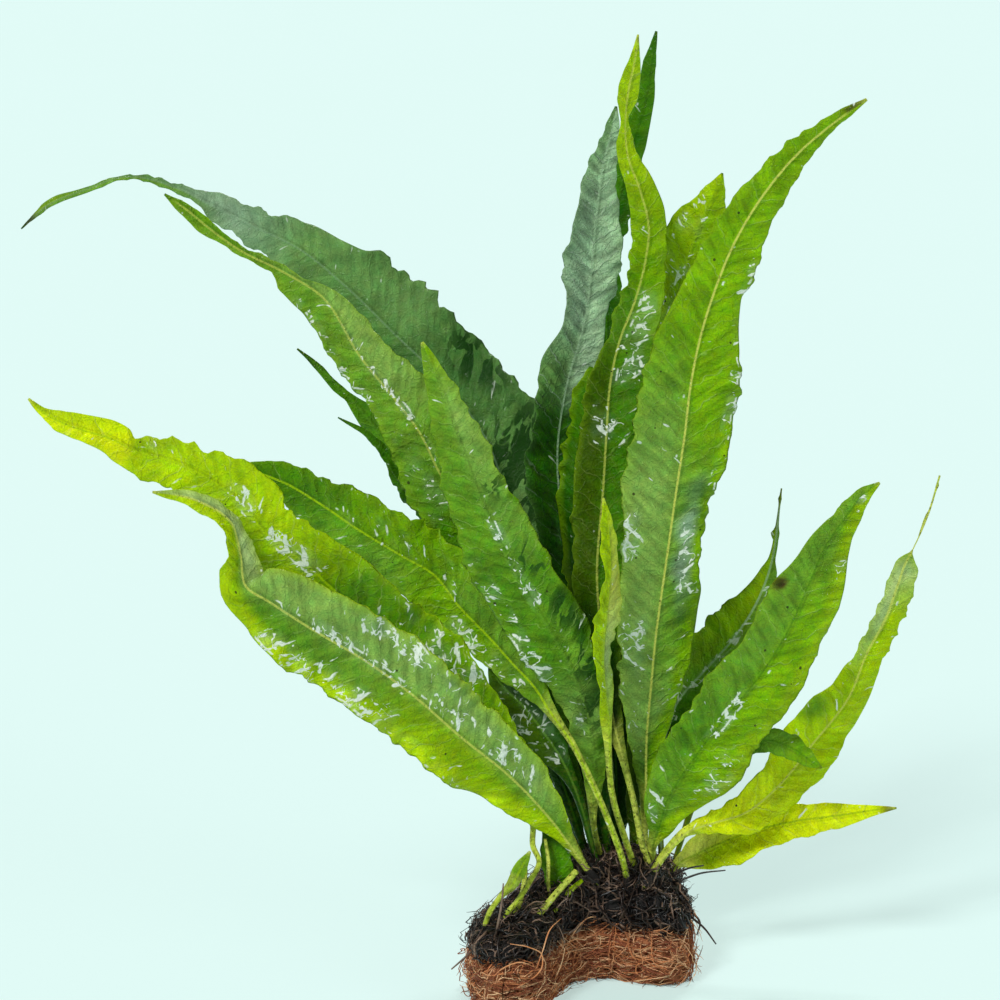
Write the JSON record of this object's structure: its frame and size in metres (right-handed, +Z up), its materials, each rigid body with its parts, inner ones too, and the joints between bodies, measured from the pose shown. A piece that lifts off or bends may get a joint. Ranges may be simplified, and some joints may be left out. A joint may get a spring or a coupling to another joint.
{
  "type": "java fern",
  "caption": "Aquarium fern with long ruffled strap leaves on thin stalks, rising from a dark matted root clump on a coir pad.",
  "frame": {"origin": "on the coir pad's flat underside, under the root clump", "axes": "+Z up, from the pad to the leaf tips; +X to the viewer's right; +Y away from the viewer, along the depth of the plant"},
  "size_m": [0.3037, 0.1479, 0.3031],
  "materials": {
    "mature_leaf": "wet gloss",
    "dark_leaf": "wet gloss",
    "young_leaf": "wet gloss",
    "young_stalk": "satin",
    "black_root": "matted, damp",
    "coir": "fibrous"
  },
  "bodies": {
    "root": {"coir_pad": "coir", "root_clump": "black_root", "frond_back_long": "dark_leaf", "frond_left_bright": "mature_leaf", "frond_front_tall": "mature_leaf", "frond_dark_sheen": "dark_leaf", "frond_back_narrow": "dark_leaf", "frond_yellow_top": "young_leaf", "frond_curled_edge": "dark_leaf", "frond_right_big": "mature_leaf", "frond_right_inner": "mature_leaf", "frond_folded_narrow": "mature_leaf", "frond_right_low": "mature_leaf", "frond_right_dark": "dark_leaf", "frond_right_outer": "young_leaf", "frond_right_lowest": "young_leaf", "frond_left_big": "mature_leaf", "frond_left_yellow": "young_leaf", "frond_left_middle": "mature_leaf", "frond_left_hidden": "dark_leaf", "frond_left_string_tip": "mature_leaf", "frond_right_short": "dark_leaf", "frond_dark_wet": "dark_leaf", "young_frond_kneed": "young_stalk", "young_frond_narrow": "young_stalk", "young_stalk_thin": "young_stalk", "stalk_stub_stout": "young_stalk", "stalk_bud_yellow": "young_stalk", "stalk_upright_thin": "young_stalk", "frond_base_dark": "dark_leaf"}
  },
  "joints": []
}
